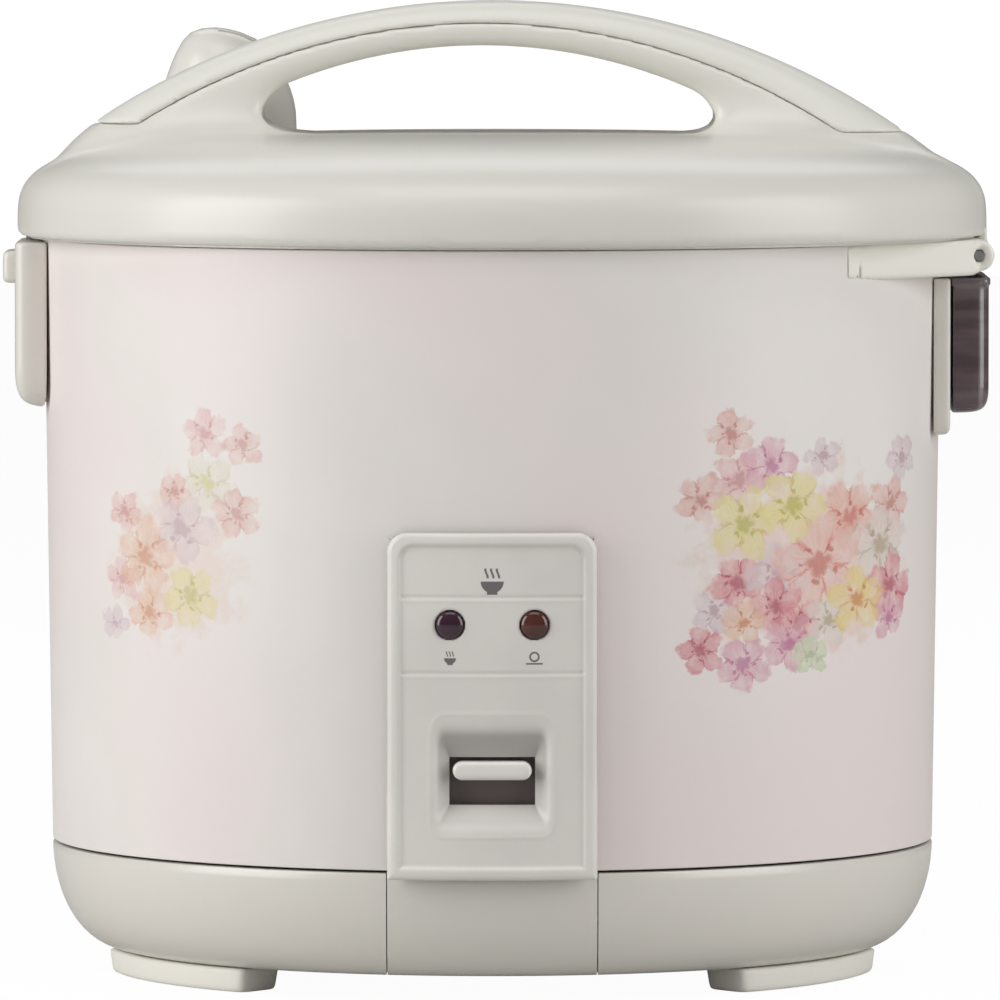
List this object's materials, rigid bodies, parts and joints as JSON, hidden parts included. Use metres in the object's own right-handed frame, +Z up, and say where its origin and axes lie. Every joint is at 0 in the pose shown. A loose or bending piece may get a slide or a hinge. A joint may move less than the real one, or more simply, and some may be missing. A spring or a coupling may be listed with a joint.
{
  "type": "rice cooker",
  "caption": "Electric rice cooker with a round sheet body, side-hinged lid with arched carrying handle, lift-off steam cap, dew collector and a front cook lever.",
  "frame": {"origin": "on the body's axis, in the plane that the feet stand on", "axes": "+Z up; -Y towards the user, the side with the control panel; +X to the right, the hinge side"},
  "size_m": [0.2957, 0.277, 0.29],
  "materials": {
    "lid_plastic": "warm off-white moulded plastic, satin gloss",
    "handle_plastic": "warm off-white moulded plastic, finer and a little duller than the lid",
    "body_steel": "pearl white painted steel sheet with two printed sprays of blossom",
    "base_plastic": "warm off-white moulded plastic, satin",
    "foot_plastic": "warm off-white moulded plastic, dull",
    "panel_plastic": "off-white moulded plastic, satin",
    "lever_plastic": "light off-white moulded plastic, glossy",
    "dark_plastic": "dark brown-grey moulded plastic",
    "smoked_plastic": "dark smoky brown clear plastic, polished",
    "lamp_cook_lens": "dark red-brown clear lens, unlit",
    "lamp_warm_lens": "dark red-brown clear lens, unlit",
    "lamp_glass": "small neon lamp",
    "board": "phenolic paper board",
    "steam_plastic": "warm off-white moulded plastic",
    "pot_coating": "aluminium bowl with a dark grey non-stick coating inside",
    "aluminium": "pressed aluminium, brushed",
    "silicone": "translucent white silicone seal",
    "steel": "zinc-plated steel",
    "heater_band": "woven glass heater band"
  },
  "bodies": {
    "body": {"outer_body": "body_steel", "upper_rim": "base_plastic", "hinge_pin": "steel", "lid_spring": "steel", "base_shell": "base_plastic", "base_front_strip": "base_plastic", "bottom_plate": "steel", "foot_front_left": "foot_plastic", "foot_front_right": "foot_plastic", "foot_rear_left": "foot_plastic", "foot_rear_right": "foot_plastic", "base_screw_1": "steel", "base_screw_2": "steel", "base_screw_3": "steel", "latch_cover": "base_plastic", "latch_spring": "steel", "dew_collector_bracket": "base_plastic", "control_panel": "panel_plastic", "lamp_lens_cook": "lamp_cook_lens", "lamp_lens_warm": "lamp_warm_lens", "lamp_cook": "lamp_glass", "lamp_warm": "lamp_glass", "lamp_board": "board", "inner_pot": "pot_coating", "inner_casing": "aluminium", "heating_plate": "aluminium", "heater_post_1": "aluminium", "heater_post_2": "aluminium", "heater_post_3": "aluminium", "casing_leg_1": "steel", "casing_leg_2": "steel", "casing_leg_3": "steel", "keep_warm_band": "heater_band", "thermal_fuse": "heater_band", "microswitch": "dark_plastic", "rocker_pin": "steel", "rocker_bracket": "steel", "sensor_spring": "steel", "power_inlet": "dark_plastic", "inlet_pin_left": "steel", "inlet_pin_right": "steel"},
    "lid": {"lid_shell": "lid_plastic", "handle_cap": "handle_plastic", "lid_liner": "base_plastic", "inner_lid": "aluminium", "lid_gasket": "silicone", "inner_lid_knob": "dark_plastic", "lid_catch": "steel", "lid_screw_1": "steel", "lid_screw_2": "steel", "steam_duct": "steam_plastic"},
    "steam_cap": {"steam_cap": "steam_plastic"},
    "hook_button": {"hook_button": "base_plastic", "latch_hook": "steel"},
    "dew_collector": {"dew_collector": "smoked_plastic"},
    "cook_lever": {"cook_lever": "lever_plastic", "lever_shutter": "dark_plastic"},
    "rocker": {"rocker_arm": "steel", "trip_magnet": "dark_plastic"},
    "sensor": {"sensor_cap": "aluminium"}
  },
  "joints": [
    {"name": "lid_hinge", "type": "hinge", "parent": "body", "child": "lid", "pos_m": [0.1445, 0, 0.2145], "axis": [0, 1, 0], "range_deg": [0, 92]},
    {"name": "steam_cap_lift", "type": "slide", "parent": "lid", "child": "steam_cap", "axis": [0, 0, 1], "range_m": [0, 0.03]},
    {"name": "hook_button_press", "type": "slide", "parent": "body", "child": "hook_button", "axis": [1, 0, 0], "range_m": [0, 0.002], "stiffness_N_per_m": 2500, "springref_m": -0.002, "deforming": ["latch_spring"]},
    {"name": "dew_collector_slide", "type": "slide", "parent": "body", "child": "dew_collector", "axis": [0, 0, -1], "range_m": [0, 0.045]},
    {"name": "cook_lever_press", "type": "slide", "parent": "body", "child": "cook_lever", "axis": [0, 0, -1], "range_m": [0, 0.0055]},
    {"name": "rocker_tilt", "type": "hinge", "parent": "body", "child": "rocker", "pos_m": [0, -0.06, 0.033], "axis": [1, 0, 0], "range_deg": [0, 6.3]},
    {"name": "sensor_press", "type": "slide", "parent": "body", "child": "sensor", "axis": [0, 0, -1], "range_m": [0, 0.004], "stiffness_N_per_m": 900, "springref_m": -0.003, "deforming": ["sensor_spring"]}
  ],
  "couplings": [
    {"joint": "rocker_tilt", "follows": "cook_lever_press", "rad_per_m": 19.23}
  ]
}
